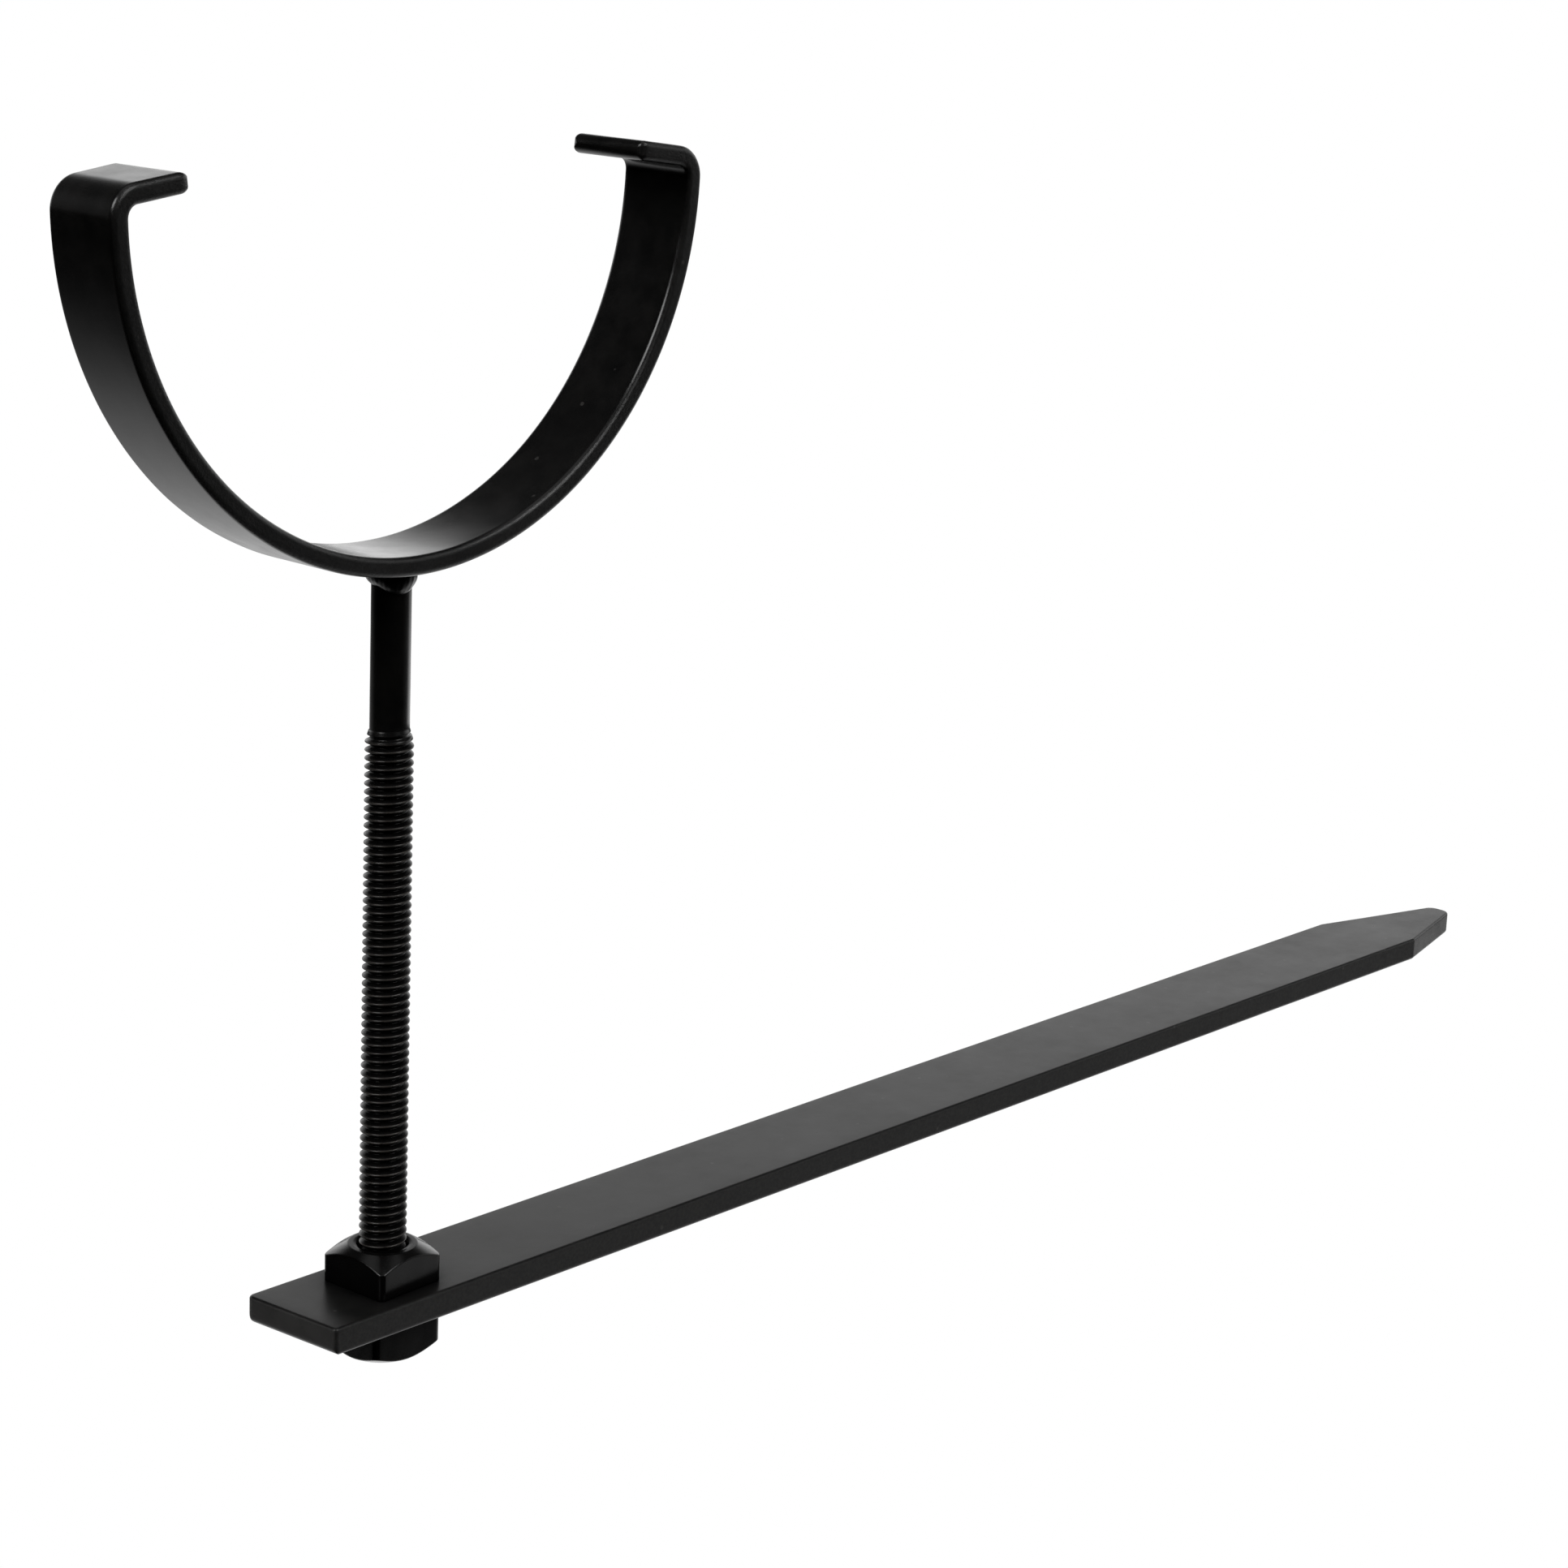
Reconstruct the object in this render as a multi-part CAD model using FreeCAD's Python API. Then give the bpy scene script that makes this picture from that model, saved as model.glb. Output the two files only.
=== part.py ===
import FreeCAD, Part
import math
import os

# Half-round gutter bracket with a drive-in spike and a screwed stud for the height.
# Millimetres, +Z up.  The origin is the centre of the gutter seat.  The gutter runs along Y,
# and the spike runs along +X to its point.

# Cradle: flat bar bent to a half round, with a short lip turned in at each end.
SEAT_RADIUS = 57.9
STRAP_THICKNESS = 3.25
STRAP_WIDTH = 15.0
STRAP_EDGE_RADIUS = 0.9
LIP_BEND_RADIUS = 2.0
LIP_BEND_DROP = 1.9  # degrees from the seat's diameter down to the centre of each lip bend
LIP_RISE = 7.6  # degrees that a lip climbs towards its end
LEFT_LIP_END_X = -47.3
RIGHT_LIP_END_X = 45.8
LIP_END_SKEW = 1.7  # both ends are sheared aslant, so each back corner stands this much nearer -X
LIP_SPARE = 5.0  # drawn past each lip end before the mouth is cut

# Stud: 5/16 in Whitworth, 18 threads to the inch, right-handed.
THREAD_RADIUS = 3.97
THREAD_PITCH = 1.4111
THREAD_DEPTH = 0.9035
THREAD_FLANK = 27.5  # degrees, half of the thread angle
THREAD_LOOSENESS = 0.15  # radial room between the stud's thread and a nut's
GROOVE_OVERCUT = 0.08  # how far the groove's cutter stands proud of the crests
SHANK_RADIUS = 3.25
THREAD_TOP_HEIGHT = 95.4  # above the spike's upper face
RUN_OUT_LENGTH = 2.4
RUN_OUT_LEAD = 1.0  # the groove's core starts to swell this far below the run-out
CORE_CLEARANCE = 0.1  # the core starts this much inside the thread's root
STUD_BELOW_NUT = 0.6
STUD_END_CHAMFER = 0.7

# Square nuts.
NUT_SIDE = 14.0
UPPER_NUT_HEIGHT = 6.8
UPPER_CROWN_RADIUS = 5.8  # where a crown starts to fall away from the flat end of its nut
LOWER_NUT_HEIGHT = 7.1
LOWER_CROWN_RADIUS = 6.7
NUT_CORNER_RADIUS = 0.9
CROWN_SLOPE = 30.0
MOUTH_RADIUS = 4.45
MOUTH_SLOPE = 45.0
NUT_TURN = 2.5  # degrees that each nut stands off square to the spike, in opposite senses

# Spike: flat bar, sheared at the struck end and tapered in plan to a blunt nose.
SEAT_HEIGHT = 182.6  # gutter seat centre above the spike's upper face
SPIKE_WIDTH = 20.6
SPIKE_THICKNESS = 4.9
STRUCK_END_X = -19.4  # at the front corner
STRUCK_END_SKEW = 1.4  # the end is sheared aslant, so its back corner stands this much nearer -X
FRONT_SHOULDER_X = 299.8
BACK_SHOULDER_X = 293.0
NOSE_X = 324.2
NOSE_WIDTH = 5.0
NOSE_SHIFT = -1.5  # the taper is cut a little off centre
UPPER_EDGE_RADIUS = 0.5
LOWER_EDGE_RADIUS = 0.9
STRUCK_LOWER_RADIUS = 1.7  # the lower edge of the struck end
FRONT_STRUCK_RADIUS = 0.7
BACK_STRUCK_RADIUS = 1.3
SHOULDER_RADIUS = 2.0
NOSE_CORNER_RADIUS = 2.4
STUD_HOLE_RADIUS = 4.4

# Weld: three runs of bead in the corner between the stud and the underside of the cradle.
# Each is (first angle, last angle, drops, drop radius, distance of the drop centres from the stud
# axis, distance of the drop centres below the cradle).
WELD_RUNS = [
    (236.0, 266.0, 4, 2.8, 1.7, 0.4),
    (282.0, 320.0, 3, 2.2, 1.8, 0.1),
    (75.0, 190.0, 8, 2.1, 2.1, 0.1),
]

STRAP_OUTER_RADIUS = SEAT_RADIUS + STRAP_THICKNESS
SPIKE_TOP = -SEAT_HEIGHT
SPIKE_BOTTOM = SPIKE_TOP - SPIKE_THICKNESS
THREAD_TOP = SPIKE_TOP + THREAD_TOP_HEIGHT
STUD_BOTTOM = SPIKE_BOTTOM - LOWER_NUT_HEIGHT - STUD_BELOW_NUT
THREAD_ROOT_RADIUS = THREAD_RADIUS - THREAD_DEPTH
BEYOND = 400.0  # reaches past every piece
TOUCHING = 0.001  # an edge nearer than this to a point passes through it


def vec(x, y, z):
    return FreeCAD.Vector(x, y, z)


def polar(radius, degrees):
    """A point in the cradle's plane, at an angle from +X towards +Z."""
    angle = math.radians(degrees)
    return vec(radius * math.cos(angle), 0, radius * math.sin(angle))


def arc(centre, radius, start, end):
    """An arc in the cradle's plane, between two angles in degrees."""
    points = [centre + polar(radius, a) for a in (start, (start + end) / 2, end)]
    return Part.Arc(*points).toShape()


def revolved(profile):
    """A solid of revolution about the stud axis, from (radius, height) points."""
    points = [vec(radius, 0, height) for radius, height in profile]
    outline = Part.makePolygon(points + points[:1])
    return Part.Face(outline).revolve(vec(0, 0, 0), vec(0, 0, 1), 360)


def cradle_strap():
    """The strap's outline in its own plane, given its width, with every edge rounded."""
    bend_centre = polar(SEAT_RADIUS - LIP_BEND_RADIUS, -LIP_BEND_DROP)
    bend_outer = LIP_BEND_RADIUS + STRAP_THICKNESS
    lip_normal = 90.0 - LIP_RISE
    inner_start = bend_centre + polar(LIP_BEND_RADIUS, lip_normal)
    outer_start = bend_centre + polar(bend_outer, lip_normal)
    lip_length = inner_start.x - RIGHT_LIP_END_X + LIP_SPARE
    along_lip = polar(lip_length, 180.0 - LIP_RISE)
    right_side = [
        arc(vec(0, 0, 0), STRAP_OUTER_RADIUS, -90.0, -LIP_BEND_DROP),
        arc(bend_centre, bend_outer, -LIP_BEND_DROP, lip_normal),
        Part.makeLine(outer_start, outer_start + along_lip),
        Part.makeLine(outer_start + along_lip, inner_start + along_lip),
        Part.makeLine(inner_start + along_lip, inner_start),
        arc(bend_centre, LIP_BEND_RADIUS, lip_normal, -LIP_BEND_DROP),
        arc(vec(0, 0, 0), SEAT_RADIUS, -LIP_BEND_DROP, -90.0),
    ]
    left_side = [edge.mirror(vec(0, 0, 0), vec(1, 0, 0)) for edge in right_side]
    edges = Part.sortEdges(right_side + left_side)[0]
    outline = Part.Face(Part.Wire(edges))
    outline.translate(vec(0, -STRAP_WIDTH / 2, 0))
    bar = outline.extrude(vec(0, STRAP_WIDTH, 0)).removeSplitter().cut(mouth())
    return bar.makeFillet(STRAP_EDGE_RADIUS, bar.Edges)


def mouth():
    """The gap between the two lip ends, as a slanted block standing on the seat's diameter."""
    corners = [
        (LEFT_LIP_END_X + LIP_END_SKEW, -STRAP_WIDTH),
        (RIGHT_LIP_END_X + LIP_END_SKEW, -STRAP_WIDTH),
        (RIGHT_LIP_END_X - LIP_END_SKEW, STRAP_WIDTH),
        (LEFT_LIP_END_X - LIP_END_SKEW, STRAP_WIDTH),
    ]
    points = [vec(x, y, -LIP_BEND_RADIUS) for x, y in corners]
    plan = Part.Face(Part.makePolygon(points + points[:1]))
    return plan.extrude(vec(0, 0, STRAP_WIDTH))


def thread_groove(start, turns, growth):
    """A helical cutter in the shape of the thread's groove, swollen by growth in radius."""
    root = THREAD_ROOT_RADIUS + growth
    rim = THREAD_RADIUS + growth + GROOVE_OVERCUT
    root_half = THREAD_PITCH / 12
    rim_half = root_half + (rim - root) * math.tan(math.radians(THREAD_FLANK))
    helix = Part.makeLongHelix(THREAD_PITCH, turns * THREAD_PITCH, root, 0)
    helix.translate(vec(0, 0, start))
    corners = [(root, -root_half), (root, root_half), (rim, rim_half), (rim, -rim_half)]
    points = [vec(radius, 0, start + rise) for radius, rise in corners]
    sweep = Part.BRepOffsetAPI.MakePipeShell(Part.Wire(helix.Edges))
    sweep.setFrenetMode(True)
    sweep.add(Part.makePolygon(points + points[:1]))
    sweep.build()
    sweep.makeSolid()
    return sweep.shape()


def stud(strap):
    """A rod, plain above and threaded below, fitted to the underside of the cradle."""
    run_out = THREAD_TOP - RUN_OUT_LENGTH
    rod = revolved(
        [
            (0, STUD_BOTTOM),
            (THREAD_RADIUS - STUD_END_CHAMFER, STUD_BOTTOM),
            (THREAD_RADIUS, STUD_BOTTOM + STUD_END_CHAMFER),
            (THREAD_RADIUS, run_out),
            (SHANK_RADIUS, THREAD_TOP),
            (SHANK_RADIUS, -SEAT_RADIUS - STRAP_THICKNESS / 2),
            (0, -SEAT_RADIUS - STRAP_THICKNESS / 2),
        ]
    )
    # the groove fades out over the run-out, where this core is left standing
    core = revolved(
        [
            (0, run_out - RUN_OUT_LEAD),
            (THREAD_ROOT_RADIUS - CORE_CLEARANCE, run_out - RUN_OUT_LEAD),
            (SHANK_RADIUS, THREAD_TOP - THREAD_PITCH / 2),
            (SHANK_RADIUS, THREAD_TOP + THREAD_PITCH),
            (0, THREAD_TOP + THREAD_PITCH),
        ]
    )
    start = STUD_BOTTOM - 2 * THREAD_PITCH
    turns = math.ceil((THREAD_TOP - start) / THREAD_PITCH)
    groove = thread_groove(start, turns, 0.0).cut(core)
    return rod.cut(groove).cut(strap)


def nut(seat, facing, height, crown_radius, turn):
    """A square nut on the face at height seat, crowned on the side that it faces (+1 up, -1 down)."""
    half = NUT_SIDE / 2
    block = Part.makeBox(NUT_SIDE, NUT_SIDE, height, vec(-half, -half, 0))
    upright = [e for e in block.Edges if abs(e.tangentAt(e.FirstParameter).z) > 0.5]
    block = block.makeFillet(NUT_CORNER_RADIUS, upright)
    crown_drop = (NUT_SIDE - crown_radius) * math.tan(math.radians(CROWN_SLOPE))
    crown = revolved(
        [
            (0, 0),
            (NUT_SIDE, 0),
            (NUT_SIDE, height - crown_drop),
            (crown_radius, height),
            (0, height),
        ]
    )
    block = block.common(crown)
    tip = MOUTH_RADIUS * math.tan(math.radians(MOUTH_SLOPE))
    block = block.cut(Part.makeCone(MOUTH_RADIUS, 0, tip, vec(0, 0, 0)))
    block = block.cut(Part.makeCone(0, MOUTH_RADIUS, tip, vec(0, 0, height - tip)))
    if facing < 0:
        block.rotate(vec(0, 0, height / 2), vec(1, 0, 0), 180)
    block.rotate(vec(0, 0, 0), vec(0, 0, 1), turn)
    bottom = seat if facing > 0 else seat - height
    block.translate(vec(0, 0, bottom))
    return block.cut(tap(bottom, height))


def tap(bottom, height):
    """The space that a nut leaves for the stud, in step with the stud's own thread."""
    turns_up = math.floor((bottom - STUD_BOTTOM) / THREAD_PITCH) - 2
    start = STUD_BOTTOM + turns_up * THREAD_PITCH
    length = height + 2 * THREAD_PITCH
    rod = Part.makeCylinder(THREAD_RADIUS + THREAD_LOOSENESS, length, vec(0, 0, bottom - THREAD_PITCH))
    turns = math.ceil(length / THREAD_PITCH) + 4
    return rod.cut(thread_groove(start, turns, THREAD_LOOSENESS))


def rounded_side(first, second, lower_radius):
    """Everything inside one vertical side of the spike, with that side's long edges rounded."""
    along = (second - first).normalize()
    outward = vec(along.y, -along.x, 0)
    inner = first - outward * BEYOND
    section = [
        Part.makeLine(inner + vec(0, 0, SPIKE_BOTTOM), first + vec(0, 0, SPIKE_BOTTOM)),
        Part.makeLine(first + vec(0, 0, SPIKE_BOTTOM), first + vec(0, 0, SPIKE_TOP)),
        Part.makeLine(first + vec(0, 0, SPIKE_TOP), inner + vec(0, 0, SPIKE_TOP)),
        Part.makeLine(inner + vec(0, 0, SPIKE_TOP), inner + vec(0, 0, SPIKE_BOTTOM)),
    ]
    slab = Part.Face(Part.Wire(section)).extrude(along * 2 * BEYOND)
    slab.translate(along * -BEYOND)
    for height, radius in ((SPIKE_TOP, UPPER_EDGE_RADIUS), (SPIKE_BOTTOM, lower_radius)):
        corner = first + vec(0, 0, height)
        long_edges = [e for e in slab.Edges if e.distToShape(Part.Vertex(corner))[0] < TOUCHING]
        slab = slab.makeFillet(radius, long_edges)
    return slab


def spike():
    """The bar inside all its rounded sides, with its upright corners eased and its hole bored."""
    half = SPIKE_WIDTH / 2
    corners = [
        (STRUCK_END_X, -half, FRONT_STRUCK_RADIUS),
        (FRONT_SHOULDER_X, -half, SHOULDER_RADIUS),
        (NOSE_X, NOSE_SHIFT - NOSE_WIDTH / 2, NOSE_CORNER_RADIUS),
        (NOSE_X, NOSE_SHIFT + NOSE_WIDTH / 2, NOSE_CORNER_RADIUS),
        (BACK_SHOULDER_X, half, SHOULDER_RADIUS),
        (STRUCK_END_X - STRUCK_END_SKEW, half, BACK_STRUCK_RADIUS),
    ]
    points = [vec(x, y, 0) for x, y, _ in corners]
    plan = Part.Face(Part.makePolygon(points + points[:1]))
    plan.translate(vec(0, 0, SPIKE_BOTTOM))
    bar = plan.extrude(vec(0, 0, SPIKE_THICKNESS))
    for x, y, radius in corners:
        middle = Part.Vertex(vec(x, y, (SPIKE_TOP + SPIKE_BOTTOM) / 2))
        upright = [e for e in bar.Edges if e.distToShape(middle)[0] < TOUCHING]
        bar = bar.makeFillet(radius, upright)
    for first, second in zip(points, points[1:]):
        bar = bar.common(rounded_side(first, second, LOWER_EDGE_RADIUS))
    bar = bar.common(rounded_side(points[-1], points[0], STRUCK_LOWER_RADIUS))
    hole = Part.makeCylinder(STUD_HOLE_RADIUS, SPIKE_THICKNESS, vec(0, 0, SPIKE_BOTTOM))
    return bar.cut(hole)


def weld_beads(strap, rod):
    """Overlapping drops of weld metal, cut back to the faces of the strap and the stud."""
    drops = []
    for first, last, count, radius, reach, depth in WELD_RUNS:
        for i in range(count):
            angle = math.radians(first + (last - first) * i / (count - 1))
            height = -STRAP_OUTER_RADIUS - depth
            place = vec(reach * math.cos(angle), reach * math.sin(angle), height)
            drops.append(Part.makeSphere(radius, place))
    return drops[0].multiFuse(drops[1:]).cut(strap).cut(rod)


def save(node, shape):
    shape = shape.removeSplitter()
    if len(shape.Solids) == 1:
        shape = shape.Solids[0]
    shape.exportStep("parts/" + node + ".step")
    print(node, len(shape.Solids), "solid", "valid" if shape.isValid() else "broken", shape.BoundBox)


os.makedirs("parts", exist_ok=True)
strap = cradle_strap()
rod = stud(strap)
save("cradle_strap", strap)
save("stud", rod)
save("weld_beads", weld_beads(strap, rod))
save("upper_nut", nut(SPIKE_TOP, 1, UPPER_NUT_HEIGHT, UPPER_CROWN_RADIUS, NUT_TURN))
save("lower_nut", nut(SPIKE_BOTTOM, -1, LOWER_NUT_HEIGHT, LOWER_CROWN_RADIUS, -NUT_TURN))
save("spike", spike())
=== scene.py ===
import math
from collections import namedtuple

import bmesh
import bpy
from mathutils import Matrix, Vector, geometry, noise


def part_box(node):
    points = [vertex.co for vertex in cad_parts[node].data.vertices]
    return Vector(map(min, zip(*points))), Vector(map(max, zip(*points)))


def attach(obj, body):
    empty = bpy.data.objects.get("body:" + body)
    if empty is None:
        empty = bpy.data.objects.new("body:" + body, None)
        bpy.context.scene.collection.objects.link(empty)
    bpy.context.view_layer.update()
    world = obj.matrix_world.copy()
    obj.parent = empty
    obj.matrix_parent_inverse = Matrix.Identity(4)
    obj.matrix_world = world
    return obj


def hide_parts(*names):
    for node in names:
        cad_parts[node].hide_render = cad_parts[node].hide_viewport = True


# Rise-and-fall half-round gutter bracket in black paint.  Metres, in the CAD part's own frame:
# origin at the centre of the gutter seat, +X along the spike, +Y along the gutter, +Z up.
MM = 0.001

# Strap of the cradle
STRAP_THICKNESS = 3.25 * MM
STRAP_EDGE_RADIUS = 0.9 * MM
STRAP_END_RADIUS = 1.6 * MM
LIP_BEND_RADIUS = 2.0 * MM
LIP_BEND_DROP = 1.9  # degrees
LIP_RISE = 7.6  # degrees
LEFT_LIP_END_X = -47.3 * MM
RIGHT_LIP_END_X = 45.8 * MM
LIP_END_SKEW = 1.7 * MM
STRAP_UNEVEN = 0.05 * MM  # how far its rolled faces wander
STRAP_UNEVEN_SIDES = 0.3  # the share of that on its sides
STRAP_WAVE = 16 * MM
STRAP_RIPPLE = 6 * MM

# Stud and its 5/16 in Whitworth thread
THREAD_RADIUS = 3.97 * MM
THREAD_PITCH = 1.4111 * MM
THREAD_DEPTH = 0.9035 * MM
THREAD_FLANK = 27.5  # degrees
THREAD_ROUNDING = 0.194 * MM
THREAD_LOOSENESS = 0.15 * MM
SHANK_RADIUS = 3.25 * MM
THREAD_TOP_HEIGHT = 95.4 * MM
RUN_OUT_LENGTH = 2.4 * MM
RUN_OUT_LEAD = 1.0 * MM  # the groove's floor starts to rise this far below the run-out
STUD_END_CHAMFER = 0.7 * MM
STUD_COLUMNS = 60
SHANK_UNEVEN = 0.012 * MM
SHANK_EVEN_LENGTH = 3 * MM  # above the thread, over which the unevenness sets in

# Square nuts
NUT_SIDE = 14.0 * MM
NUT_CORNER_RADIUS = 0.9 * MM
UPPER_CROWN_RADIUS = 5.8 * MM
LOWER_CROWN_RADIUS = 6.7 * MM
CROWN_SLOPE = 30.0  # degrees
MOUTH_RADIUS = 4.45 * MM  # of the 45 degree mouths
NUT_TURN = 2.5  # degrees off square to the spike
NUT_ROUNDINGS = (0.5 * MM, 0.3 * MM, 0.3 * MM)  # at the crown's rim, at its edge and at the foot
NUT_UNEVEN = 0.03 * MM
NUT_EVEN_RIM = 0.1 * MM  # its ends stay flat

# Spike
STRUCK_END_X = -19.4 * MM
STRUCK_END_SKEW = 1.4 * MM
FRONT_SHOULDER_X = 299.8 * MM
BACK_SHOULDER_X = 293.0 * MM
NOSE_WIDTH = 5.0 * MM
NOSE_SHIFT = -1.5 * MM
UPPER_EDGE_RADIUS = 0.5 * MM
LOWER_EDGE_RADIUS = 0.9 * MM
STRUCK_LOWER_RADIUS = 1.7 * MM
FRONT_STRUCK_RADIUS = 0.7 * MM
BACK_STRUCK_RADIUS = 1.3 * MM
SHOULDER_RADIUS = 2.0 * MM
NOSE_CORNER_RADIUS = 2.4 * MM
STUD_HOLE_RADIUS = 4.4 * MM
SPIKE_UNEVEN = 0.035 * MM
SPIKE_FLAT_NEAR_NUT = 9 * MM  # from the stud's axis; beyond it the waviness grows to its full height
SPIKE_WAVES_GROW = 12 * MM
SPIKE_WAVE = 30 * MM
SPIKE_RIPPLE = 8 * MM
SMALLEST_RADIUS = 0.02 * MM  # of a corner of the outline that the edge rounding has used up
HOLE_COLUMNS = 48
FACE_STEP = 3 * MM  # between the rows of points on the spike's faces, and along its sides
FACE_ROW = 2.9 * MM
FACE_STAGGER = 0.7 * MM
FACE_MARGINS = (1.6 * MM, 1.4 * MM, 2 * MM)  # kept clear at the sides, round the hole and at the taper
SLIVER = 0.0002 * MM  # a triangle lower than this is no part of a face

# Weld drops: first angle, last angle, count, radius, reach from the stud axis, depth below the strap
WELD_RUNS = [
    (236.0, 266.0, 4, 2.8 * MM, 1.7 * MM, 0.4 * MM),
    (282.0, 320.0, 3, 2.2 * MM, 1.8 * MM, 0.1 * MM),
    (75.0, 190.0, 8, 2.1 * MM, 2.1 * MM, 0.1 * MM),
]
WELD_COLUMNS = 128
WELD_ROWS = 30
WELD_TUCK = 0.7 * MM  # its rays start this far inside the shank and above the strap's underside
WELD_LEAN = (-8.0, 96.0)  # degrees below level of its first and last rows
WELD_LEAST_REACH = 0.95 * MM
WELD_BLEND = 6  # power of the sum that melts the drops into each other
WELD_RIPPLES = 30  # round the stud
WELD_RIPPLE_HEIGHT = 0.035 * MM
WELD_LUMP = 1.1 * MM
WELD_LUMP_HEIGHT = 0.10 * MM
WELD_CLOSED_AT = 0.8 * MM  # above the strap's underside, where nothing shows

# Lumps per metre of the noises in the paint
BROAD_LUMPS = 45.0
MIDDLE_LUMPS = 260.0
PEEL_LUMPS = 620.0
FINE_LUMPS = 1900.0
SHEARED_LUMPS = 2200.0
SPECK_LUMPS = 5200.0
CHIP_CELLS = 420.0

# Level and warmth of the other colours in the paint
RUBBED_METAL = (0.06, 0.12)
CHIPPED_METAL = (0.40, 0.04)
DUST = (0.45, 0.03)

CHIP_DEPTH = 0.012 * MM
# reach of the occlusion that paints shade into corners and crevices
PAINTED_SHADE_REACH = 9 * MM
# depth into a nut's mouth at which its painted shade is full
MOUTH_SHADE_FROM = -2.5 * MM
SHADER_SAMPLES = 6

# What sets the sheared faces of a bar apart from its rolled ones.  part is the part of the
# normal that tells them, start and whole are its sizes where a face begins to count as sheared
# and where it wholly does, and the rest is their colour, extra roughness and grain height.
Sides = namedtuple("Sides", "part start whole base extra_rough grain")

# Camera
CAMERA_PLACE = Vector((-0.398257, -0.434538, 0.064473))
CAMERA_YAW = 0.85  # radians from +Y towards +X
CAMERA_PITCH = 0.264  # radians down
CAMERA_ROLL = 0.042
CAMERA_LENS = 86.6  # millimetres on a 36 mm frame

# Floor: white to the camera, with a pool of light that only reflections see
FLOOR_Z = -0.30  # the stud reaches -0.28 when it is wound right down
FLOOR_REACH = 14.0
FLOOR_CENTRE_X = 0.1
LIT_HEADING = Vector((0.80, 0.60, 0.0))  # light shows to rays that run this way
POOL_RADIUS = 0.55
POOL_LEVEL = 1.1
POOL_SHRINK_NEAR = 1.5  # distances count for more in front of the bracket than beyond it
POOL_SHRINK_FAR = 0.30
PATCH_PLACE = Vector((0.75, 0.0, FLOOR_Z))  # a brighter patch beyond the spike's point
PATCH_LEVEL = 1.6
PATCH_SPAN = (0.55, 0.10)  # distances at which it starts and is full

# Surroundings
SWEEP_LEVEL = 1.6
SWEEP_HEIGHTS = (0.57, 0.15)  # upward part of the direction where it has faded and where it is full
OVERHEAD_LEVEL = 0.45
OVERHEAD_HEIGHTS = (0.84, 0.97)
DIM_LEVEL = 0.015
LAMP_EDGE = (0.955, 0.985)  # cosines at a lamp's rim and where it is full
LAMPS = [(Vector((-0.76, 0.06, 0.64)), 8.0), (Vector((0.20, -0.74, 0.64)), 6.5)]  # direction and strength

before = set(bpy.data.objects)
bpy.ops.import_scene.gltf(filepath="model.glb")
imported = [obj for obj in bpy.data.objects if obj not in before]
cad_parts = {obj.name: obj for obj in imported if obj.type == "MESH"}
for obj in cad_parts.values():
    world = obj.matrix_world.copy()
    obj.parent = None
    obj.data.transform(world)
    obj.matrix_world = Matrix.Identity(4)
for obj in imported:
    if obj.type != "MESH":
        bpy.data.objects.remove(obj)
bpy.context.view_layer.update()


# ---------------------------------------------------------------- mesh helpers

def piece(name, verts, faces, body, node, material):
    """A mesh object that stands in for one CAD node."""
    mesh = bpy.data.meshes.new(name)
    mesh.from_pydata([tuple(v) for v in verts], [], faces)
    mesh.validate()
    edit = bmesh.new()
    edit.from_mesh(mesh)
    bmesh.ops.remove_doubles(edit, verts=edit.verts, dist=1e-7)
    bmesh.ops.recalc_face_normals(edit, faces=edit.faces)
    for face in edit.faces:
        face.smooth = True
    edit.to_mesh(mesh)
    edit.free()
    obj = bpy.data.objects.new(name, mesh)
    bpy.context.scene.collection.objects.link(obj)
    mesh.materials.append(material)
    weighted = obj.modifiers.new("even_normals", "WEIGHTED_NORMAL")
    weighted.mode = "FACE_AREA"
    weighted.weight = 80
    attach(obj, body)
    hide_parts(node)
    return obj


def ring_faces(rings, count, closed=True):
    """Quads between successive rings of count points, numbered ring by ring from 0."""
    faces = []
    last = count if closed else count - 1
    for i in range(rings - 1):
        for j in range(last):
            k = (j + 1) % count
            faces.append((i * count + j, i * count + k, (i + 1) * count + k, (i + 1) * count + j))
    return faces


def smooth_noise(point, size, seed):
    """Smooth noise between about -1 and 1, with lumps of the given size."""
    return noise.noise(Vector(point) / size + Vector((seed, seed * 1.7, seed * 0.3)))


# ---------------------------------------------------------------- node helpers

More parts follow.
